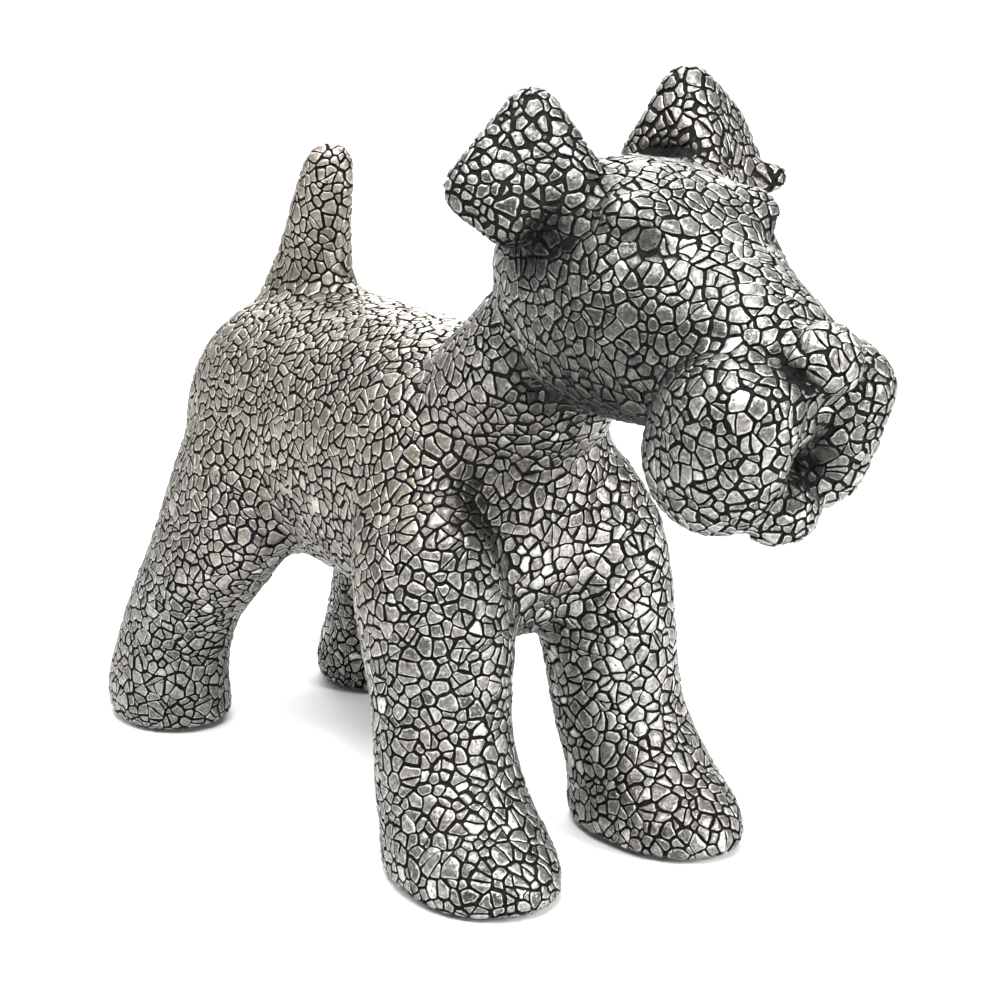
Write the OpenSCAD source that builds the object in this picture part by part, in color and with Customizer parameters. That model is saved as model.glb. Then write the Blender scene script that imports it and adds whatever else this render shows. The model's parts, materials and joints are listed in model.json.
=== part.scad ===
// Standing terrier figurine, slip-cast in hollow pieces that are luted together.
// The dog faces -Y, its left side is +X, and it stands on the plane Z = 0. The origin lies
// under the middle of its length and width.

/* [Stance] */
// Distance between the front and the rear feet, centre to centre
wheelbase = 178; // [174:1:182]
// Distance between the two front feet, centre to centre
front_track = 67; // [65:1:72]
// Distance between the two rear feet, centre to centre
rear_track = 80; // [76:1:82]
// How far the rear left foot stands ahead of the rear right one
rear_step = 9; // [0:1:10]

/* [Castings] */
// Greatest width of the torso
torso_w = 78; // [74:1:82]
// Greatest width of the skull
skull_w = 64; // [62:1:68]
// How much higher the left ear is carried than the right one
ear_lift = 5; // [0:1:6]
// How much further out the left ear's corner is carried than the right one's
ear_splay = 3; // [0:0.5:4]
// Wall of the slip castings
wall = 4.5; // [3.5:0.5:5]
// Diameter of an air hole between two cavities
air_hole_d = 7; // [5:1:9]

/* [Feet and vent] */
// Thickness of the felt pads
pad_t = 1.5; // [1:0.25:2]
// Diameter of the felt pads
pad_d = 24; // [20:1:28]
// Diameter of the vent hole under the belly
vent_d = 9; // [7:1:11]

/* [Hidden] */

silver = [0.62, 0.62, 0.60];
felt = [0.12, 0.12, 0.12];
rubber = [0.18, 0.18, 0.19];

feet_mid_y = 40;    // the head and muzzle reach far ahead of the feet
front_y = feet_mid_y - wheelbase / 2;
rear_y = feet_mid_y + wheelbase / 2;

vent_y = 30;           // the vent sits under the belly, between the legs
vent_seat_d = vent_d + 5;
vent_seat_z = 64;      // where the plug's lip ends inside the belly wall
vent_top_z = 72;       // where the plug ends inside the cavity
below_belly_z = 50;
leg_hole_z = 84;       // height of the air holes into the legs
leg_hole_x = 24;       // where they start, inside the torso's cavity
leg_hole_y = [-18, 90];

// The rows of a casting, one ring each: [x, y, z, half width, half depth, tilt]. A tilt of 90
// stands the ring upright, square to the dog's length, and a tilt of 0 lays it flat. Widths
// that a driving dimension sets are written as a share of it.
torso_rows = [for (r = [
  [140, 102, 0.12, 12],
  [136, 102, 0.26, 24],
  [127, 103, 0.38, 34],
  [114, 104, 0.46, 41],
  [94, 107, 0.49, 44],
  [66, 108, 0.49, 44],
  [36, 106, 0.49, 44],
  [10, 105, 0.50, 45],
  [-12, 104, 0.50, 44],
  [-28, 101, 0.44, 40],
  [-39, 99, 0.31, 30],
  [-44, 98, 0.14, 15]]) [0, r[0], r[1], r[2] * torso_w, r[3], 90]];

neck_rows = [
  [0, -5, 111, 33, 28, 64],
  [0, -23, 128, 30, 25, 54],
  [0, -41, 145, 27, 22.5, 44],
  [0, -59, 162, 24, 21, 36]];

skull_rows = [for (r = [
  [-38, 174, 0.12, 9],
  [-41, 173, 0.25, 17],
  [-49, 171, 0.39, 26],
  [-63, 169, 0.48, 32],
  [-84, 168, 0.50, 34],
  [-102, 166, 0.46, 31],
  [-113, 160, 0.38, 25],
  [-124, 155.5, 0.31, 22],
  [-136, 152, 0.28, 18],
  [-143, 150, 0.20, 13],
  [-147, 149, 0.09, 7]]) [0, r[0], r[1], r[2] * skull_w, r[3], 90]];

tail_rows = [
  [0, 94, 136, 13, 30, 0],
  [0, 93, 146, 12, 27, 2],
  [0, 91, 154, 11, 21, 6],
  [0, 87.5, 166, 10, 14.5, 10],
  [0, 83.5, 178, 9, 12, 10],
  [0, 79.5, 189, 8, 10, 8],
  [0, 77, 195.5, 6.5, 7.5, 6],
  [0, 76, 199, 2.5, 3, 6]];

// A leg's rows climb from its sole: [inward, forward or back, z, half width, half depth]
front_leg_shape = [
  [0, -0.5, 0, 21.5, 30.5],
  [0, -0.5, 4, 22.5, 31.5],
  [0, 1.5, 11, 22, 29.5],
  [0.5, 8.5, 21, 21, 24],
  [2, 15, 35, 20, 20.5],
  [3, 18.5, 51, 20, 22],
  [4, 22.5, 71, 21.5, 25],
  [5, 28, 93, 19, 27],
  [8, 32, 111, 12, 20]];

rear_leg_shape = [
  [0, -0.5, 0, 19.5, 25],
  [0, -0.5, 4, 20.5, 26.5],
  [0, -0.5, 11, 20, 26],
  [0, -4, 23, 19, 24],
  [1, -12, 39, 18.5, 25],
  [4, -23.5, 55, 19, 29.5],
  [8, -34, 73, 19, 35],
  [12, -36, 91, 18, 32],
  [16, -36, 109, 15, 26],
  [19, -36, 121, 8, 15]];

function leg_rows(side, track, y, shape) =
  [for (r = shape) [side * (track / 2 - r[0]), y + r[1], pad_t + r[2], r[3], r[4], 0]];

// Shapes

// A point on the smooth curve through b and c, whose neighbours are a and d
function through(a, b, c, d, t) =
  0.5 * (2 * b + (c - a) * t + (2 * a - 5 * b + 4 * c - d) * t * t
         + (3 * b - a - 3 * c + d) * t * t * t);

// The rows with one more between each pair, on the smooth curve through them
function smoothed(rows) =
  let (last = len(rows) - 1)
  [for (i = [0 : last - 1], t = [0, 0.5])
     through(rows[max(i - 1, 0)], rows[i], rows[i + 1], rows[min(i + 2, last)], t),
   rows[last]];

// The rows of the cavity in a casting; its ends stay thicker than its wall
function cavity(rows, lowest = 0) =
  [for (r = rows) if (min(r[3], r[4]) > 3.5 * wall && r[2] > lowest)
     [r[0], r[1], r[2], r[3] - wall, r[4] - wall, r[5]]];

// A cosine or sine pulled outwards, which turns a circle into a rounded square
function squared(c, squareness) = sign(c) * pow(abs(c), squareness);

// One ring of points
function ring(row, sides, squareness) =
  [for (k = [0 : sides - 1])
     let (a = 360 * k / sides,
          across = row[3] * squared(cos(a), squareness),
          along = row[4] * squared(sin(a), squareness))
     [row[0] + across, row[1] + along * cos(row[5]), row[2] + along * sin(row[5])]];

// A closed skin over the rings; a squareness under 1 makes them boxier
module loft(rows, sides, squareness = 1) {
  last = len(rows) - 1;
  skin = [for (i = [0 : last - 1], k = [0 : sides - 1])
            let (a = i * sides + k, b = i * sides + (k + 1) % sides)
            each [[a, b + sides, b], [a, a + sides, b + sides]]];
  first_cap = [for (k = [0 : sides - 1]) k];
  last_cap = [for (k = [sides - 1 : -1 : 0]) last * sides + k];
  polyhedron([for (r = rows) each ring(r, sides, squareness)], concat([first_cap, last_cap], skin));
}

// An egg with the three half sizes given, closed by a small flat at each pole
module egg(half, sides = 24) {
  loft([for (a = [-82.5 : 15 : 82.5])
          [0, 0, half[2] * sin(a), half[0] * cos(a), half[1] * cos(a), 0]], sides);
}

// Torso

module torso_skin() {
  loft(smoothed(torso_rows), 40, 0.9);
  loft(smoothed(neck_rows), 36);
}

// Joins the cavity of each leg to that of the torso
module leg_air_holes() {
  for (side = [-1, 1], y = leg_hole_y)
    translate([side * leg_hole_x, y, leg_hole_z]) rotate([0, side * 90, 0])
      cylinder(30, d = air_hole_d, $fn = 32);
}

module vent_shape() {
  translate([0, vent_y, below_belly_z]) {
    cylinder(vent_seat_z - below_belly_z, d = vent_seat_d, $fn = 48);
    cylinder(vent_top_z - below_belly_z, d = vent_d, $fn = 48);
  }
}

module torso() color(silver) difference() {
  torso_skin();
  loft(cavity(smoothed(torso_rows)), 32, 0.9);
  loft(cavity(smoothed(neck_rows)), 28);
  loft(smoothed(skull_rows), 36, 0.85);
  leg_air_holes();
  vent_shape();
}

// Head

module head_skin() {
  loft(smoothed(skull_rows), 36, 0.85);
  for (side = [-1, 1]) translate([side * 17, -98, 186]) egg([11, 11, 9]);
}

// Joins the cavity of the head to that of the neck
module neck_air_hole() {
  translate([0, -52, 145]) rotate([36, 0, 0]) cylinder(24, d = air_hole_d, center = true, $fn = 32);
}

module head() color(silver) difference() {
  head_skin();
  loft(cavity(smoothed(skull_rows)), 28, 0.85);
  neck_air_hole();
}

// A folded ear, thick as a pillow, standing off the side of the skull; the splay carries its
// outer corner away from the head
module ear_skin(side, lift, splay) {
  hull() {
    translate([side * 25.5, -67, 212 + lift]) sphere(7.5, $fn = 24);
    translate([side * (35 + splay), -66, 203 + lift]) sphere(7, $fn = 24);
    translate([side * (41.5 + splay), -65, 194 + lift / 2]) sphere(8, $fn = 24);
    translate([side * (36 + splay / 2), -72, 187 + lift / 2]) sphere(7.5, $fn = 24);
    translate([side * 20, -80, 196 + lift / 3]) sphere(6.5, $fn = 24);
    translate([side * 17, -60, 199 + lift / 3]) sphere(6.5, $fn = 24);
  }
}

// The corner of the left ear that curls away from its fold
module ear_tip() {
  hull() {
    translate([41, -72, 191 + ear_lift / 2]) sphere(6, $fn = 24);
    translate([49, -77, 192 + ear_lift / 2]) sphere(3.5, $fn = 24);
  }
}

module left_ear() color(silver) difference() {
  union() {
    ear_skin(1, ear_lift, ear_splay);
    ear_tip();
  }
  head_skin();
}
module right_ear() color(silver) difference() {
  ear_skin(-1, 0, 0);
  head_skin();
}

// Muzzle, whose pieces are pressed on solid

// One half of the moustache; the left half sits a little higher and hangs a little less
module moustache_skin(side) {
  rise = side > 0 ? 1.5 : 0;
  drop = side > 0 ? 18 : 19;
  hull() {
    translate([side * 15, -132, 147.5 + rise]) egg([15.5, 20, 13]);
    translate([side * 14.5 - 0.5, -126, 133 + rise]) egg([14.8, 20.5, drop]);
  }
}

module moustache(side) difference() {
  moustache_skin(side);
  head_skin();
  translate([side * -20, -128, 140]) cube([40, 80, 80], center = true);
}
module left_moustache() color(silver) moustache(1);
module right_moustache() color(silver) moustache(-1);

module nose() color(silver) difference() {
  translate([0, -147, 157.5]) egg([10, 9, 9.5]);
  head_skin();
  for (side = [-1, 1]) moustache_skin(side);
}

module chin_beard() color(silver) difference() {
  translate([-2, -136, 121]) egg([11.5, 9.5, 9.5]);
  head_skin();
  for (side = [-1, 1]) moustache_skin(side);
}

// Tail, pressed solid

module tail() color(silver) difference() {
  loft(smoothed(tail_rows), 24);
  torso_skin();
}

// Legs, open at the top where they are luted to the torso

module leg(rows) color(silver) difference() {
  loft(smoothed(rows), 28);
  loft(cavity(smoothed(rows), pad_t + wall), 24);
  torso_skin();
}
module front_left_leg() leg(leg_rows(1, front_track, front_y, front_leg_shape));
module front_right_leg() leg(leg_rows(-1, front_track, front_y, front_leg_shape));
module rear_left_leg() leg(leg_rows(1, rear_track, rear_y - rear_step, rear_leg_shape));
module rear_right_leg() leg(leg_rows(-1, rear_track, rear_y, rear_leg_shape));

// Felt pads under the soles

module pad(x, y) color(felt) translate([x, y, 0]) cylinder(pad_t, d = pad_d, $fn = 64);
module front_left_pad() pad(front_track / 2, front_y);
module front_right_pad() pad(-front_track / 2, front_y);
module rear_left_pad() pad(rear_track / 2, rear_y - rear_step);
module rear_right_pad() pad(-rear_track / 2, rear_y);

// Stopper of the vent hole, its lip flush with the belly
module vent_plug() color(rubber) intersection() {
  vent_shape();
  loft(smoothed(torso_rows), 40, 0.9);
}

torso();
head();
left_ear();
right_ear();
nose();
left_moustache();
right_moustache();
chin_beard();
tail();
front_left_leg();
front_right_leg();
rear_left_leg();
rear_right_leg();
front_left_pad();
front_right_pad();
rear_left_pad();
rear_right_pad();
vent_plug();
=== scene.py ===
import json
import math
import random

import bpy
import numpy as np
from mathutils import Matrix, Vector, noise
from mathutils.bvhtree import BVHTree
from mathutils.kdtree import KDTree


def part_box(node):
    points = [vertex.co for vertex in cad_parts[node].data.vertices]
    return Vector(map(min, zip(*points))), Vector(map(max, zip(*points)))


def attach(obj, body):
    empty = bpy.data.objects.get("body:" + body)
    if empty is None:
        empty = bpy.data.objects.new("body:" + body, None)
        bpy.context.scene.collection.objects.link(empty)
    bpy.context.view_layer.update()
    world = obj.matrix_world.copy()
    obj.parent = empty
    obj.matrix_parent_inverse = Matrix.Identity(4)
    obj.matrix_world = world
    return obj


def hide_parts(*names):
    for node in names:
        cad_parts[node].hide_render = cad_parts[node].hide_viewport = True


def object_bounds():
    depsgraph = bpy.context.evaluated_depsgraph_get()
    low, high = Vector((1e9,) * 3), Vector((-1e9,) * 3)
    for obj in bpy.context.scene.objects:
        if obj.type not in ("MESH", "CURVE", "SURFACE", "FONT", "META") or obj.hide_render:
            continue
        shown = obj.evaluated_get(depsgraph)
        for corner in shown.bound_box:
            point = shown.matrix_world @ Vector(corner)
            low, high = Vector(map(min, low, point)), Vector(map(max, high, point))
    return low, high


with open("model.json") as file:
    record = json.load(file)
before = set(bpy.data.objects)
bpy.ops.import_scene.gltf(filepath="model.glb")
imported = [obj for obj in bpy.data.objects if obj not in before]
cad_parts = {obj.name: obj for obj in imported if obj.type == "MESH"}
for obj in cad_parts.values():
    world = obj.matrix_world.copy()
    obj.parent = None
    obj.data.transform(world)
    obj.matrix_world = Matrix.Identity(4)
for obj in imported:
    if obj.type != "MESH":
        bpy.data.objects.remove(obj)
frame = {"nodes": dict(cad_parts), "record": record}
cad_lo, cad_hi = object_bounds()
centre = (cad_lo + cad_hi) / 2
rng = random.Random(7)
MM = 0.001

SLOT = {s["node"]: s["material_slot"] for s in frame["record"]["subparts"]}
CERAMIC = sorted(n for n, s in SLOT.items() if s == "silver_chips")

# ---------------------------------------------------------------- sizes of the chips
SKIN_VOXEL = 1.5 * MM     # edge of the fine skin's faces, which the chips follow
FLOOR_VOXEL = 2.2 * MM    # edge of the faces of the dark floor between the chips
GROOVE_DEPTH = 0.55 * MM  # from the chip tops to the dark joints
SKIN_WALL = 1.6 * MM      # thickness of the skin shells under the chips
CHIP_ROOT = 0.95 * MM     # how far a chip reaches down, through the skin's surface
CHIP_BEVEL = 0.20 * MM
PITCH = {"left_ear": 0.89, "right_ear": 0.89, "head": 0.98, "tail": 0.98,
         "left_moustache": 0.90, "right_moustache": 0.90, "nose": 1.15, "chin_beard": 0.85}
JOINT = {"left_ear": 0.80, "right_ear": 0.84, "head": 0.60, "tail": 0.56, "nose": 0.36,
         "left_moustache": 0.68, "right_moustache": 0.68}


# ---------------------------------------------------------------- materials
def new_material(name):
    m = bpy.data.materials.new(name)
    m.use_nodes = True
    nt = m.node_tree
    nt.nodes.clear()
    out = nt.nodes.new("ShaderNodeOutputMaterial")
    bsdf = nt.nodes.new("ShaderNodeBsdfPrincipled")
    nt.links.new(bsdf.outputs[0], out.inputs[0])
    return m, nt, bsdf


class Graph:
    """Short names for the node types the materials use."""

    def __init__(self, nt):
        self.nt = nt
        self.pos = nt.nodes.new("ShaderNodeTexCoord").outputs["Object"]

    def plug(self, socket, value):
        if isinstance(value, bpy.types.NodeSocket):
            self.nt.links.new(value, socket)
        else:
            socket.default_value = value

    def noise(self, scale, detail=2.0, rough=0.5, vector=None):
        n = self.nt.nodes.new("ShaderNodeTexNoise")
        n.inputs["Scale"].default_value = scale
        n.inputs["Detail"].default_value = detail
        n.inputs["Roughness"].default_value = rough
        self.nt.links.new(vector or self.pos, n.inputs["Vector"])
        return n.outputs["Fac"]

    def cells(self, scale, feature="F1"):
        n = self.nt.nodes.new("ShaderNodeTexVoronoi")
        n.feature = feature
        n.inputs["Scale"].default_value = scale
        self.nt.links.new(self.pos, n.inputs["Vector"])
        return n.outputs["Distance"]

    def math(self, op, a, b=0.0, clamp=False):
        n = self.nt.nodes.new("ShaderNodeMath")
        n.operation = op
        n.use_clamp = clamp
        self.plug(n.inputs[0], a)
        self.plug(n.inputs[1], b)
        return n.outputs[0]

    def ramp(self, fac, lo, hi, a=0.0, b=1.0):
        n = self.nt.nodes.new("ShaderNodeMapRange")
        n.clamp = True
        self.plug(n.inputs["Value"], fac)
        for key, v in (("From Min", lo), ("From Max", hi), ("To Min", a), ("To Max", b)):
            n.inputs[key].default_value = v
        return n.outputs["Result"]

    def mix(self, fac, a, b):
        n = self.nt.nodes.new("ShaderNodeMix")
        n.data_type = "RGBA"
        self.plug(n.inputs["Factor"], fac)
        self.plug(n.inputs["A"], a)
        self.plug(n.inputs["B"], b)
        return n.outputs["Result"]

    def attribute(self, name):
        n = self.nt.nodes.new("ShaderNodeAttribute")
        n.attribute_name = name
        return n.outputs["Fac"]

    def bump(self, height, strength, distance, normal=None):
        n = self.nt.nodes.new("ShaderNodeBump")
        n.inputs["Strength"].default_value = strength
        n.inputs["Distance"].default_value = distance
        self.nt.links.new(height, n.inputs["Height"])
        if normal is not None:
            self.nt.links.new(normal, n.inputs["Normal"])
        return n.outputs["Normal"]


def silver_material():
    m, nt, bsdf = new_material("silver_chip")
    g = Graph(nt)
    tone = g.attribute("tone")
    edge = g.attribute("edge")
    shade = g.attribute("shade")
    # each chip has its own value of silver, mottled by worn patches; the brightest mottle is partly painted highlight
    # specks, and a tone above 1 is a chip painted very bright as a painted glint
    base = g.mix(g.ramp(tone, 0.0, 1.0), (0.060, 0.058, 0.054, 1), (0.310, 0.301, 0.280, 1))
    base = g.mix(g.ramp(tone, 1.0, 1.6), base, (0.74, 0.73, 0.70, 1))
    mottle = g.noise(900.0, 4.0, 0.65)
    base = g.mix(g.ramp(mottle, 0.36, 0.52, 0.62, 0.0), base, (0.05, 0.049, 0.046, 1))
    base = g.mix(g.ramp(mottle, 0.55, 0.72, 0.0, 0.75), base, (0.58, 0.57, 0.54, 1))
    # warm, green and cool casts in patches across the body; the green patches are partly a tint and partly a painted
    # greenish reflection
    base = g.mix(g.ramp(g.noise(17.0, 1.0), 0.50, 0.66, 0.0, 0.35), base, (0.27, 0.235, 0.185, 1))
    base = g.mix(g.ramp(g.noise(23.0, 1.0), 0.56, 0.70, 0.0, 0.30), base, (0.155, 0.18, 0.155, 1))
    # the silver is yellower towards the rump
    axes = nt.nodes.new("ShaderNodeSeparateXYZ")
    nt.links.new(g.pos, axes.inputs[0])
    rear = g.math("MULTIPLY", g.ramp(axes.outputs["Y"], -0.07, 0.06), g.ramp(axes.outputs["Z"], 0.05, 0.12))
    base = g.mix(g.math("MULTIPLY", rear, 0.58), base, (0.33, 0.285, 0.215, 1))
    # rubbed edges, worn lighter and partly a painted highlight on the chip rims, then the patina takes over at the foot
    # of the chip
    rub_and_rim_highlight = g.ramp(g.math("ADD", edge, g.ramp(mottle, 0.3, 0.7, -0.25, 0.25)), 0.55, 0.85, 0.0, 0.72)
    base = g.mix(rub_and_rim_highlight, base, (0.62, 0.61, 0.585, 1))
    # pits
    pit = g.ramp(g.cells(620.0), 0.10, 0.24, 1.0, 0.0)
    some = g.ramp(g.noise(330.0, 1.0), 0.52, 0.60)
    pit = g.math("MULTIPLY", pit, some)
    base = g.mix(pit, base, (0.03, 0.03, 0.028, 1))
    # the shade attribute darkens the chips: the dark joints on their walls, patina, and painted shade in enclosed
    # places and in the shade patches
    base = g.mix(shade, base, (0.008, 0.0078, 0.0072, 1))
    nt.links.new(base, bsdf.inputs["Base Color"])
    bsdf.inputs["Metallic"].default_value = 0.8
    bsdf.inputs["Specular IOR Level"].default_value = 0.25
    nt.links.new(g.ramp(g.noise(1300.0, 3.0), 0.3, 0.7, 0.26, 0.52), bsdf.inputs["Roughness"])
    fine = g.bump(g.noise(2600.0, 2.0), 0.35, 0.10 * MM)
    dents = g.bump(g.noise(750.0, 3.0, 0.6), 0.9, 0.35 * MM, fine)
    pits = g.bump(g.math("SUBTRACT", 1.0, pit), 0.8, 0.25 * MM, dents)
    nt.links.new(pits, bsdf.inputs["Normal"])
    return m


def patina_material():
    m, nt, bsdf = new_material("patina_joint")
    g = Graph(nt)
    base = g.mix(g.ramp(g.noise(700.0, 4.0, 0.7), 0.45, 0.75), (0.004, 0.0038, 0.0036, 1),
                 (0.022, 0.020, 0.018, 1))
    nt.links.new(base, bsdf.inputs["Base Color"])
    bsdf.inputs["Specular IOR Level"].default_value = 0.10
    nt.links.new(g.ramp(g.noise(1500.0), 0.3, 0.7, 0.6, 0.9), bsdf.inputs["Roughness"])
    nt.links.new(g.bump(g.noise(1100.0, 4.0, 0.7), 0.8, 0.3 * MM), bsdf.inputs["Normal"])
    return m


def felt_material():
    m, nt, bsdf = new_material("felt")
    g = Graph(nt)
    fuzz = g.noise(1700.0, 5.0, 0.75)
    base = g.mix(g.ramp(fuzz, 0.35, 0.7), (0.012, 0.012, 0.012, 1), (0.06, 0.058, 0.056, 1))
    nt.links.new(base, bsdf.inputs["Base Color"])
    bsdf.inputs["Roughness"].default_value = 0.95
    bsdf.inputs["Sheen Weight"].default_value = 0.3
    nt.links.new(g.bump(fuzz, 1.0, 0.4 * MM), bsdf.inputs["Normal"])
    return m


def rubber_material():
    m, nt, bsdf = new_material("rubber")
    g = Graph(nt)
    dust = g.noise(240.0, 4.0, 0.6)
    base = g.mix(g.ramp(dust, 0.45, 0.7), (0.018, 0.018, 0.019, 1), (0.05, 0.049, 0.047, 1))
    nt.links.new(base, bsdf.inputs["Base Color"])
    nt.links.new(g.ramp(dust, 0.3, 0.7, 0.45, 0.7), bsdf.inputs["Roughness"])
    nt.links.new(g.bump(g.noise(1400.0, 3.0), 0.4, 0.15 * MM), bsdf.inputs["Normal"])
    return m


silver, patina = silver_material(), patina_material()


# ---------------------------------------------------------------- mesh helpers
def new_piece(name, verts, faces, materials, smooth=True):
    me = bpy.data.meshes.new(name)
    me.from_pydata([tuple(v) for v in verts], [], faces)
    me.update()
    o = bpy.data.objects.new(name, me)
    bpy.context.scene.collection.objects.link(o)
    for mat in materials:
        me.materials.append(mat)
    me.polygons.foreach_set("use_smooth", [smooth] * len(me.polygons))
    return o


def unit(a):
    return a / np.maximum(np.linalg.norm(a, axis=1, keepdims=True), 1e-12)


# ---------------------------------------------------------------- the skin under the chips
def joined(names):
    verts, faces, owner = [], [], []
    for k, n in enumerate(names):
        me = frame["nodes"][n].data
        at = len(verts)
        verts += [tuple(v.co) for v in me.vertices]
        faces += [[at + i for i in p.vertices] for p in me.polygons]
        owner += [k] * len(me.polygons)
    return verts, faces, owner


def remeshed(verts, faces, voxel):
    me = bpy.data.meshes.new("skin_source")
    me.from_pydata(verts, [], faces)
    o = bpy.data.objects.new("skin_source", me)
    bpy.context.scene.collection.objects.link(o)
    mod = o.modifiers.new("remesh", "REMESH")
    mod.mode = "VOXEL"
    mod.voxel_size = voxel
    out = bpy.data.meshes.new_from_object(o.evaluated_get(bpy.context.evaluated_depsgraph_get()))
    bpy.data.objects.remove(o)
    v = np.empty(len(out.vertices) * 3)
    out.vertices.foreach_get("co", v)
    quads = np.array([tuple(p.vertices) for p in out.polygons if len(p.vertices) == 4])
    bpy.data.meshes.remove(out)
    return v.reshape(-1, 3), quads


def outermost(v, quads):
    """Keeps the component that holds the highest point; the rest are cavities."""
    edges = np.vstack([quads[:, [i, (i + 1) % 4]] for i in range(4)])
    label = np.arange(len(v))
    while True:
        low = label.copy()
        np.minimum.at(low, edges[:, 0], label[edges[:, 1]])
        np.minimum.at(low, edges[:, 1], label[edges[:, 0]])
        low = low[low]
        if (low == label).all():
            break
        label = low
    keep = label == label[v[:, 2].argmax()]
    index = np.cumsum(keep) - 1
    return v[keep], index[quads[keep[quads[:, 0]]]]


def normals_of(v, quads):
    a, b = v[quads[:, 2]] - v[quads[:, 0]], v[quads[:, 3]] - v[quads[:, 1]]
    fn = np.cross(a, b)
    n = np.zeros_like(v)
    for i in range(4):
        np.add.at(n, quads[:, i], fn)
    return unit(n)


names = CERAMIC + ["vent_plug"]
src_v, src_f, owner = joined(names)
cad_tree = BVHTree.FromPolygons(src_v, src_f)
skin_v, skin_q = outermost(*remeshed(src_v, src_f, SKIN_VOXEL))

pairs = np.unique(np.sort(np.vstack([skin_q[:, [i, (i + 1) % 4]] for i in range(4)]), axis=1), axis=0)
degree = np.bincount(pairs.ravel(), minlength=len(skin_v))[:, None].astype(float)


def relaxed(v, weight, rounds):
    """Each round moves a point towards the mean of its neighbours by its weight."""
    for _ in range(rounds):
        s = np.zeros_like(v)
        np.add.at(s, pairs[:, 0], v[pairs[:, 1]])
        np.add.at(s, pairs[:, 1], v[pairs[:, 0]])
        v = v + weight * (s / degree - v)
    return v


def spread(values, rounds):
    for _ in range(rounds):
        s = np.zeros_like(values)
        np.add.at(s, pairs[:, 0], values[pairs[:, 1]])
        np.add.at(s, pairs[:, 1], values[pairs[:, 0]])
        values = 0.5 * values + 0.5 * s / degree
    return values


# which CAD node each point of the skin lies on
skin_node = np.array([owner[cad_tree.find_nearest(Vector(p))[2]] for p in skin_v])
# how strongly the seam between two castings is filled with slip
FILL = {("head", "left_ear"): 0.0, ("head", "right_ear"): 0.0, ("head", "torso"): 0.05,
        ("head", "left_moustache"): 0.08, ("head", "right_moustache"): 0.08,
        ("head", "nose"): 0.02, ("left_moustache", "nose"): 0.0, ("nose", "right_moustache"): 0.0,
        ("chin_beard", "left_moustache"): 0.0, ("chin_beard", "right_moustache"): 0.0,
        ("left_moustache", "right_moustache"): 0.0, ("chin_beard", "head"): 0.1}
seam = np.zeros((len(skin_v), 1))
for i, j in pairs:
    if skin_node[i] != skin_node[j]:
        pair = tuple(sorted((names[skin_node[i]], names[skin_node[j]])))
        w = FILL.get(pair, 1.0)
        seam[i] = max(seam[i], w)
        seam[j] = max(seam[j], w)
near_seam = np.clip(spread(seam, 14) * 7.0, 0.0, 1.0)
skin_v = relaxed(skin_v, 0.5, 2)
skin_v = relaxed(skin_v, 0.55 * near_seam, 34)
skin_v = relaxed(skin_v, 0.5 * near_seam ** 2, 12)
skin_n = normals_of(skin_v, skin_q)
# the unevenness of a shape modelled by hand
lumps = np.array([noise.noise(Vector(p) * 38.0) for p in skin_v])[:, None]
skin_v = skin_v + skin_n * lumps * 0.7 * MM
skin_n = relaxed(normals_of(skin_v, skin_q), 0.5, 2)
skin_n = unit(skin_n)



# Creases pressed into the clay: node, both sides, half width, depth, then a path of offsets from
# the middle of the node's box. All in millimetres.
CREASES = [
    # lip under the nose, then the mouth down to the chin
    ("head", True, 1.8, 1.9, [(-11, -50, -10), (-9, -56, -13), (-6, -58, -16), (0, -58, -20)]),
    ("head", False, 1.9, 2.1, [(0, -58, -20), (2, -53, -28), (2, -50, -36), (3, -50, -42)]),
    # jaw, eye socket, and round the foot of each ear
    ("head", True, 4.0, 2.4, [(-28, 32, -11), (-22, 35, -23), (-15, 34, -31), (-4, 36, -38)]),
    ("head", True, 3.2, 1.7, [(-27, -3, 20), (-26, -11, 17), (-21, -16, 14), (-14, -20, 15)]),
    ("head", True, 2.4, 1.4, [(-21, 3, 27), (-27, -2, 21), (-29, 5, 15), (-31, 12, 13)]),
    # fold of the left ear
    ("head", False, 1.6, 1.8, [(12, 26, 34), (15, 12, 35), (26, 9, 32), (43, 14, 28)]),
    # between each front leg and the chest
    ("torso", False, 4.5, 1.6, [(-23, -76, -2), (-19, -82, -20), (-12, -79, -39)]),
    ("torso", False, 4.5, 2.0, [(-2, -78, -44), (12, -78, -40), (20, -85, -33), (32, -83, -17)]),
]
# Painted shade and painted light on the chips: node, both sides, offset of the middle, radius,
# amount. A positive amount paints shade on the cheeks, under the jaw, in the eye sockets, at the
# foot of the ears and on the chest by the right front leg, where it also stands in for a dark
# reflection, and darkens the moustaches and the right ear. A negative amount paints light on the
# nose and the left front leg, paints two glints about the eyes, and lightens the left ear.
SHADE_AND_LIGHT_PATCHES = [
    ("head", True, (-30, -8, -5), 25, 0.60),
    ("head", True, (-16, 13, -30), 24, 0.95),
    ("head", True, (-25, -11, 17), 9, 0.20),
    ("head", True, (-31, 14, 14), 9, 0.25),
    ("head", True, (-17, -42, -24), 22, 0.32),
    ("head", False, (-3, -60, -8), 10, -0.45),
    ("head", False, (-28, -10, 9), 4, -1.6),
    ("head", False, (-13, -21, 13), 4, -1.6),
    ("right_ear", False, (0, 0, 0), 24, 0.40),
    ("left_ear", False, (0, 0, 0), 22, -0.28),
    ("front_left_leg", False, (0, 0, -10), 46, -0.60),
    ("torso", False, (-24, -81, -13), 17, 0.48),
]


def middle_of_node(node):
    lo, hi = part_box(node)
    return (lo + hi) / 2


def placed(node, both, offsets):
    """The offsets as points in the model, and again on the other side where both is set."""
    for sign in ((1, -1) if both else (1,)):
        yield [middle_of_node(node) + Vector((sign * x, y, z)) * MM for x, y, z in offsets]


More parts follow.
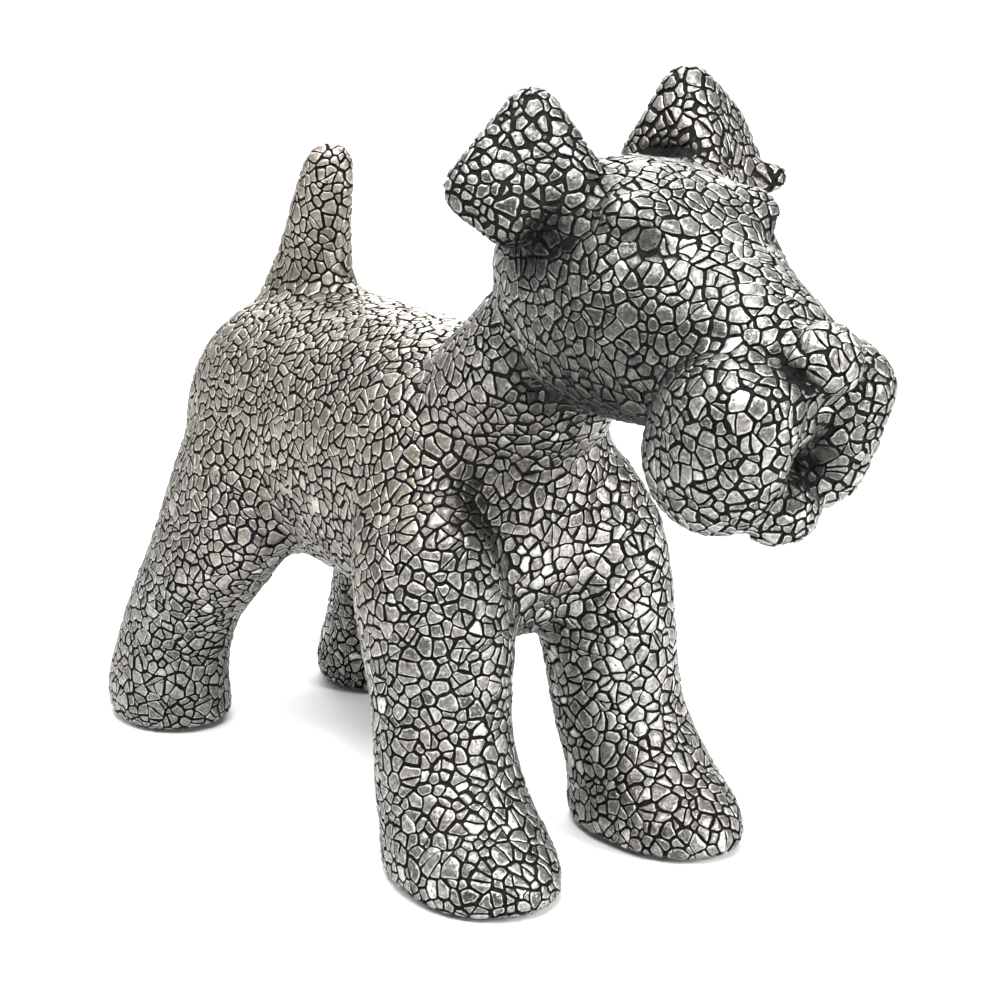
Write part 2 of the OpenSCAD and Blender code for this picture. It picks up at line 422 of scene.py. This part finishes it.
def pressed(v, normals):
    depth = np.zeros(len(v))
    for node, both, half, deep, path in CREASES:
        for points in placed(node, both, path):
            near = np.full(len(v), np.inf)
            for a, b in zip(points, points[1:]):
                a, ab = np.array(a), np.array(b - a)
                t = np.clip((v - a) @ ab / (ab @ ab), 0, 1)[:, None]
                near = np.minimum(near, np.linalg.norm(v - a - t * ab, axis=1))
            depth = np.maximum(depth, deep * MM * np.exp(-(near / (half * MM)) ** 2))
    return v - normals * depth[:, None]


skin_v = pressed(skin_v, skin_n)
skin_n = unit(relaxed(normals_of(skin_v, skin_q), 0.5, 1))
tree = BVHTree.FromPolygons([tuple(p) for p in skin_v], [tuple(q) for q in skin_q.tolist()])
face_n = unit(skin_n[skin_q].mean(axis=1))


def on_skin(p):
    """The nearest point of the skin and its smooth normal."""
    loc, _, face, _ = tree.find_nearest(p)
    return loc, Vector(face_n[face])


# ---------------------------------------------------------------- seeds
quad_node = skin_node[skin_q[:, 0]]
order = list(range(len(skin_q))) * 2
rng.shuffle(order)
cell_size = 7.5 * MM
grid, seeds = {}, []
for f in order:
    q = skin_v[skin_q[f]]
    a, b = rng.random(), rng.random()
    p = (q[0] * (1 - a) + q[1] * a) * (1 - b) + (q[3] * (1 - a) + q[2] * a) * b
    name = names[quad_node[f]]
    size = PITCH.get(name, 1.0) * MM * min(7.0, max(2.6, rng.lognormvariate(1.46, 0.30)))
    key = tuple((p // cell_size).astype(int))
    ok = True
    for dx in (-1, 0, 1):
        for dy in (-1, 0, 1):
            for dz in (-1, 0, 1):
                for s in grid.get((key[0] + dx, key[1] + dy, key[2] + dz), ()):
                    d = p - seeds[s][0]
                    if d @ d < (0.40 * (size + seeds[s][1])) ** 2:
                        ok = False
                        break
                if not ok:
                    break
            if not ok:
                break
        if not ok:
            break
    if ok:
        grid.setdefault(key, []).append(len(seeds))
        seeds.append((p, size, f))

kd = KDTree(len(seeds))
for i, (p, _, _) in enumerate(seeds):
    kd.insert(Vector(p), i)
kd.balance()


# ---------------------------------------------------------------- chips
def clipped(poly, nx, ny, d):
    """The part of the polygon where nx x + ny y <= d."""
    out = []
    for i in range(len(poly)):
        x0, y0 = poly[i - 1]
        x1, y1 = poly[i]
        s0, s1 = nx * x0 + ny * y0 - d, nx * x1 + ny * y1 - d
        if (s0 <= 0) != (s1 <= 0):
            t = s0 / (s0 - s1)
            out.append((x0 + t * (x1 - x0), y0 + t * (y1 - y0)))
        if s1 <= 0:
            out.append((x1, y1))
    return out


def area_of(poly):
    return 0.5 * sum(poly[i - 1][0] * poly[i][1] - poly[i][0] * poly[i - 1][1] for i in range(len(poly)))


def middle_of(poly):
    a = area_of(poly)
    cx = cy = 0.0
    for i in range(len(poly)):
        x0, y0 = poly[i - 1]
        x1, y1 = poly[i]
        c = x0 * y1 - x1 * y0
        cx += (x0 + x1) * c
        cy += (y0 + y1) * c
    return cx / (6 * a), cy / (6 * a)


def cracked(poly, joint, big):
    """Splits a large chip along a random crack, as glaze cracks again after it has cracked."""
    if area_of(poly) < big:
        return [poly]
    cx, cy = middle_of(poly)
    # across the longer direction, give or take
    far = max(poly, key=lambda p: (p[0] - cx) ** 2 + (p[1] - cy) ** 2)
    t = math.atan2(far[1] - cy, far[0] - cx) + rng.gauss(0.0, 0.45)
    nx, ny = math.cos(t), math.sin(t)
    d = nx * cx + ny * cy + rng.uniform(-0.30, 0.30) * math.dist(far, (cx, cy))
    parts = (clipped(poly, nx, ny, d - joint / 2), clipped(poly, -nx, -ny, -d - joint / 2))
    return [q for p in parts if len(p) > 2 for q in cracked(p, joint, big)]


def softened(poly):
    """Drops tiny edges, nips the corners off and makes long edges a little uneven."""
    pts = [p for i, p in enumerate(poly) if math.dist(p, poly[i - 1]) > 0.22 * MM]
    if len(pts) < 3:
        return []
    out = []
    for i in range(len(pts)):
        a, b, c = pts[i - 1], pts[i], pts[(i + 1) % len(pts)]
        ab, bc = math.dist(a, b), math.dist(b, c)
        turn = ((b[0] - a[0]) * (c[0] - b[0]) + (b[1] - a[1]) * (c[1] - b[1])) / (ab * bc)
        nip = min(rng.uniform(0.15, 0.50) * MM, 0.33 * ab, 0.33 * bc)
        if turn > 0.85:
            out.append(b)
        else:
            out.append((b[0] + (a[0] - b[0]) * nip / ab, b[1] + (a[1] - b[1]) * nip / ab))
            out.append((b[0] + (c[0] - b[0]) * nip / bc, b[1] + (c[1] - b[1]) * nip / bc))
        if bc > 1.7 * MM:
            t, w = rng.uniform(0.4, 0.6), rng.uniform(-0.20, 0.10) * MM
            out.append((b[0] + (c[0] - b[0]) * t + (c[1] - b[1]) / bc * w,
                        b[1] + (c[1] - b[1]) * t - (c[0] - b[0]) / bc * w))
    return out


TORSO_LO, TORSO_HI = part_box("torso")


def piece_of(name, y):
    """The torso's chips go into three pieces, to keep each mesh a workable size."""
    if name in ("torso", "vent_plug"):
        along = (y - TORSO_LO.y) / (TORSO_HI.y - TORSO_LO.y)
        return "torso_front" if along < 0.28 else "torso_middle" if along < 0.62 else "torso_rear"
    return name


patch = {}
for n in sorted({piece_of(n, y) for n in CERAMIC for y in (-1.0, 0.03, 1.0)}):
    patch[n] = {"v": [], "f": [], "tone": [], "edge": [], "shade": []}


RAYS = [Vector((math.cos(2.4 * k) * math.sqrt(1 - z * z), math.sin(2.4 * k) * math.sqrt(1 - z * z), z))
        for k in range(20) for z in [0.15 + 0.8 * (k + 0.5) / 20]]


def shelter(loc, nrm):
    """How enclosed a spot is, 0 to 1: it darkens the chips there, partly as patina that stays where a cloth can't rub
    it off and partly as painted shade under the jaw and the ears and between the legs.
    """
    turn = Vector((0, 0, 1)).rotation_difference(nrm)
    start = loc + nrm * 0.6 * MM
    hits = 0.0
    for ray in RAYS:
        hit = tree.ray_cast(start, turn @ ray, 45 * MM)
        if hit[0] is not None:
            hits += 1.0 - 0.6 * hit[3] / (45 * MM)
    return hits / len(RAYS)


# The patches of painted shade and painted light as points in the model.
SHADE_AND_LIGHT_SPOTS = [(points[0], radius * MM, amount) for node, both, at, radius, amount in SHADE_AND_LIGHT_PATCHES
         for points in placed(node, both, [at])]


def wandered(p):
    """Moves a point of a chip's outline by a smooth field, so that cracks wander and chips stretch."""
    return (p + noise.noise_vector(p * 95.0) * 1.5 * MM + noise.noise_vector(p * 260.0) * 0.92 * MM)


def add_chip(key, p, u, v, poly):
    """One closed chip: root ring, top ring, bevel ring and a crown."""
    n_pts = len(poly)
    cx, cy = middle_of(poly)
    reach = max(math.dist((cx, cy), q) for q in poly)
    mid, mid_n = on_skin(wandered(p + u * cx + v * cy))
    tx, ty = rng.gauss(0, 0.055), rng.gauss(0, 0.055)
    lift = rng.uniform(-0.10, 0.10) * MM
    crown = rng.uniform(0.03, 0.10) * reach
    root, top, bevel = [], [], []
    for x, y in poly:
        loc, nrm = on_skin(wandered(p + u * x + v * y))
        h = lift + tx * (x - cx) + ty * (y - cy)
        out = loc - mid
        r = out.length
        out.normalize()
        top.append(loc + nrm * (h - 0.16 * MM))
        root.append(loc - nrm * CHIP_ROOT + out * 0.10 * MM)
        bevel.append(loc - out * min(CHIP_BEVEL, 0.4 * r) + nrm * (h + rng.uniform(-0.03, 0.03) * MM))
    # Painted shade and painted light from the patches, plus a random patina from the noise.
    painted_shade_light_and_patina = sum(amount * math.exp(-((mid - at).length / radius) ** 2) for at, radius, amount in SHADE_AND_LIGHT_SPOTS)
    painted_shade_light_and_patina += 0.22 * noise.noise(mid * 42.0)
    # painted shade and patina: chips in enclosed places are darkened, and the patches add their painted shade and light
    dark = min(0.92, max(0.0, 2.6 * shelter(mid, mid_n) - 0.15 + painted_shade_light_and_patina + rng.gauss(0, 0.05)))
    d = patch[key]
    at = len(d["v"])
    inner = [mid + (b - mid) * 0.52 + mid_n * (crown * 0.6 + rng.uniform(-0.07, 0.07) * MM) for b in bevel]
    d["v"] += root + top + bevel + inner + [mid + mid_n * (lift + crown + rng.uniform(-0.06, 0.06) * MM)]
    # Painted light: a negative patch lightens the chip's tone and makes a painted glint more likely.
    tone = min(1.0, max(0.0, rng.gauss(0.50, 0.27) - 0.7 * min(painted_shade_light_and_patina, 0.0)))
    if rng.random() < 0.035 - 0.3 * min(painted_shade_light_and_patina, 0.0) and dark < 0.5:
        tone = rng.uniform(1.2, 1.6)  # a chip painted very bright, as a painted glint
    d["tone"] += [tone] * (4 * n_pts + 1)
    d["edge"] += [0.2] * n_pts + [0.4] * n_pts + [0.9] * n_pts + [0.1] * n_pts + [0.0]
    # the walls take the dark of the joints; the bevel and crown take the patina and painted shade of the spot
    d["shade"] += [1.0] * n_pts + [0.85] * n_pts + [0.1 + 0.9 * dark] * n_pts + [dark] * (n_pts + 1)
    d["f"].append([at + k for k in range(n_pts - 1, -1, -1)])
    for ring in range(3):
        a0 = at + ring * n_pts
        for k in range(n_pts):
            k2 = (k + 1) % n_pts
            d["f"].append([a0 + k, a0 + k2, a0 + n_pts + k2, a0 + n_pts + k])
    for k in range(n_pts):
        d["f"].append([at + 3 * n_pts + k, at + 3 * n_pts + (k + 1) % n_pts, at + 4 * n_pts])


for i, (p, size, f) in enumerate(seeds):
    name = names[quad_node[f]]
    joint = JOINT.get(name, 0.64) * MM
    n = Vector(face_n[f])
    here = Vector(p)
    u = n.orthogonal().normalized()
    v = n.cross(u)
    poly = [(4.8 * MM * math.cos(t * math.pi / 6), 4.8 * MM * math.sin(t * math.pi / 6)) for t in range(12)]
    for co, j, dist in kd.find_range(here, 11.5 * MM):
        if j == i or n.dot(Vector(face_n[seeds[j][2]])) < -0.3:
            continue
        d = co - here
        x, y = d.dot(u), d.dot(v)
        flat = math.hypot(x, y)
        if flat < 0.15 * dist:
            continue
        w = 0.35 * (size ** 2 - seeds[j][1] ** 2)
        cut = min(max((dist ** 2 + w) / (2 * dist), 0.3 * dist), 0.7 * dist)
        gap = joint * (0.45 + 1.1 * ((i * 7919 + j * 7919) % 97) / 97.0)
        poly = clipped(poly, x / flat, y / flat, cut - gap / 2)
        if len(poly) < 3:
            break
    if len(poly) < 3 or area_of(poly) < 0.9 * MM * MM:
        continue
    big = rng.uniform(11.0, 28.0) * MM * MM
    for part in cracked(poly, joint * rng.uniform(0.6, 0.9), big):
        if area_of(part) < 0.7 * MM * MM:
            continue
        soft = softened(part)
        if len(soft) >= 3 and area_of(soft) > 0.5 * MM * MM:
            add_chip(piece_of(name, here.y), here, u, v, soft)

# ---------------------------------------------------------------- pieces
coarse_v, coarse_q = outermost(*remeshed(src_v, src_f, FLOOR_VOXEL))
floor_v, under_v, floor_node = np.empty_like(coarse_v), np.empty_like(coarse_v), []
for k, p in enumerate(coarse_v):
    loc, _, face, _ = tree.find_nearest(Vector(p))
    floor_v[k] = np.array(loc) - face_n[face] * GROOVE_DEPTH
    under_v[k] = np.array(loc) - face_n[face] * (GROOVE_DEPTH + SKIN_WALL)
    floor_node.append(quad_node[face])
face_owner = np.array([piece_of(names[floor_node[q[0]]], floor_v[q[0]][1]) for q in coarse_q])
for name in sorted(patch):
    mine = coarse_q[face_owner == name]
    used = np.unique(mine)
    index = np.full(len(coarse_v), -1)
    index[used] = np.arange(len(used))
    local = index[mine]
    m = len(used)
    verts = [tuple(p) for p in floor_v[used]] + [tuple(p) for p in under_v[used]]
    faces = [tuple(q) for q in local.tolist()] + [tuple(m + k for k in reversed(q)) for q in local.tolist()]
    sides = {}
    for q in local.tolist():
        for k in range(4):
            e = (q[k], q[(k + 1) % 4])
            if (e[1], e[0]) in sides:
                del sides[(e[1], e[0])]
            else:
                sides[e] = True
    faces += [(b, a, m + a, m + b) for a, b in sides]
    n_skin = len(faces)
    d = patch[name]
    at = len(verts)
    verts += [tuple(p) for p in d["v"]]
    faces += [[at + k for k in fc] for fc in d["f"]]
    piece = new_piece("glazed_" + name, verts, faces, [patina, silver])
    me = piece.data
    slot_of = np.ones(len(faces), dtype=np.int32)
    slot_of[:n_skin] = 0
    me.polygons.foreach_set("material_index", slot_of)
    for key, filler in (("tone", 0.0), ("edge", 0.0), ("shade", 1.0)):
        att = me.attributes.new(key, "FLOAT", "POINT")
        att.data.foreach_set("value", [filler] * at + d[key])
    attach(piece, "root")
    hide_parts("torso" if name.startswith("torso") else name)


def turned(name, node, profile, material, sides=96):
    """A round piece turned about the vertical axis of its CAD node."""
    lo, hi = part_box(node)
    mid = (lo + hi) / 2
    verts, faces = [], []
    for r, z in profile:
        verts += [(mid.x + r * math.cos(2 * math.pi * k / sides), mid.y + r * math.sin(2 * math.pi * k / sides), z)
                  for k in range(sides)]
    for i in range(len(profile) - 1):
        for k in range(sides):
            k2 = (k + 1) % sides
            faces.append([i * sides + k, i * sides + k2, (i + 1) * sides + k2, (i + 1) * sides + k])
    faces.append([k for k in range(sides - 1, -1, -1)])
    faces.append([(len(profile) - 1) * sides + k for k in range(sides)])
    piece = new_piece(name, verts, faces, [material])
    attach(piece, "root")
    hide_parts(node)
    return piece


felt, rubber = felt_material(), rubber_material()
for node in sorted(n for n, s in SLOT.items() if s == "felt"):
    lo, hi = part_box(node)
    r, t = (hi.x - lo.x) / 2, hi.z - lo.z
    turned("felt_" + node, node, [(r - 0.5 * MM, lo.z), (r, lo.z + 0.3 * MM), (r, hi.z - 0.1 * MM),
                                  (r - 0.2 * MM, hi.z + 0.4 * MM)], felt)
lo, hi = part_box("vent_plug")
r = (hi.x - lo.x) / 2
turned("rubber_vent_plug", "vent_plug",
       [(r - 1.2 * MM, lo.z - 0.2 * MM), (r - 0.3 * MM, lo.z), (r, lo.z + 0.6 * MM), (r, lo.z + 2.4 * MM),
        (0.62 * r, lo.z + 2.8 * MM), (0.6 * r, hi.z - 0.6 * MM), (0.5 * r, hi.z)], rubber)


# ---------------------------------------------------------------- floor, light and camera
def stage_floor():
    """A pale floor that curves up far behind the figurine."""
    verts, faces, half = [], [], 3.0
    rows = [(-2.5, 0.0), (1.6, 0.0)] + [(1.6 + 0.8 * math.sin(t * math.pi / 16), 0.8 - 0.8 * math.cos(t * math.pi / 16))
                                      for t in range(1, 9)] + [(2.4, 4.0)]
    turn = math.radians(-35.25)
    for d, z in rows:
        for x in (-half, half):
            verts.append((x * math.cos(turn) - d * math.sin(turn), x * math.sin(turn) + d * math.cos(turn), z))
    for i in range(len(rows) - 1):
        faces.append([2 * i, 2 * i + 1, 2 * i + 3, 2 * i + 2])
    m, nt, bsdf = new_material("pale_floor")
    bsdf.inputs["Base Color"].default_value = (0.86, 0.86, 0.855, 1)
    bsdf.inputs["Roughness"].default_value = 0.7
    o = new_piece("floor", verts, faces, [m])


def area_light(name, azimuth, elevation, distance, size, power, tint=(1, 1, 1)):
    """A soft box that points at the figurine."""
    light = bpy.data.lights.new(name, "AREA")
    light.shape = "RECTANGLE"
    light.size, light.size_y = size
    light.energy = power
    light.color = tint
    o = bpy.data.objects.new(name, light)
    a, e = math.radians(azimuth), math.radians(elevation)
    back = Vector((math.sin(a) * math.cos(e), -math.cos(a) * math.cos(e), math.sin(e)))
    o.location = centre + back * distance
    o.rotation_mode = "QUATERNION"
    o.rotation_quaternion = (-back).to_track_quat("-Z", "Y")
    bpy.context.scene.collection.objects.link(o)


stage_floor()
world = bpy.data.worlds.new("studio")
world.use_nodes = True
world.node_tree.nodes["Background"].inputs["Color"].default_value = (1, 1, 1, 1)
world.node_tree.nodes["Background"].inputs["Strength"].default_value = 0.30
bpy.context.scene.world = world
area_light("key", -45, 58, 1.1, (0.45, 0.45), 15)
area_light("right", 20, 22, 1.2, (0.35, 0.6), 18)
area_light("left", -110, 38, 1.2, (0.35, 0.6), 6)
area_light("top", -35, 86, 1.2, (0.6, 0.6), 9)
area_light("backdrop", 145, 40, 2.0, (2.0, 2.0), 60)
bpy.context.scene.view_settings.view_transform = "Standard"

cam = bpy.data.cameras.new("camera")
cam.sensor_width = 36.0
cam.lens = 1.9 * cam.sensor_width
cam.clip_start, cam.clip_end = 0.02, 20.0
cam_o = bpy.data.objects.new("camera", cam)
CAM_AZIMUTH, CAM_ELEVATION, CAM_DISTANCE = math.radians(-35.25), math.radians(13.3), 0.5671
aim = centre + Vector((0.0058, -0.0084, -0.0149))
cam_o.location = aim + CAM_DISTANCE * Vector(
    (math.sin(CAM_AZIMUTH) * math.cos(CAM_ELEVATION), -math.cos(CAM_AZIMUTH) * math.cos(CAM_ELEVATION),
     math.sin(CAM_ELEVATION)))
cam_o.rotation_euler = (math.pi / 2 - CAM_ELEVATION, 0, CAM_AZIMUTH)
bpy.context.scene.collection.objects.link(cam_o)
bpy.context.scene.camera = cam_o
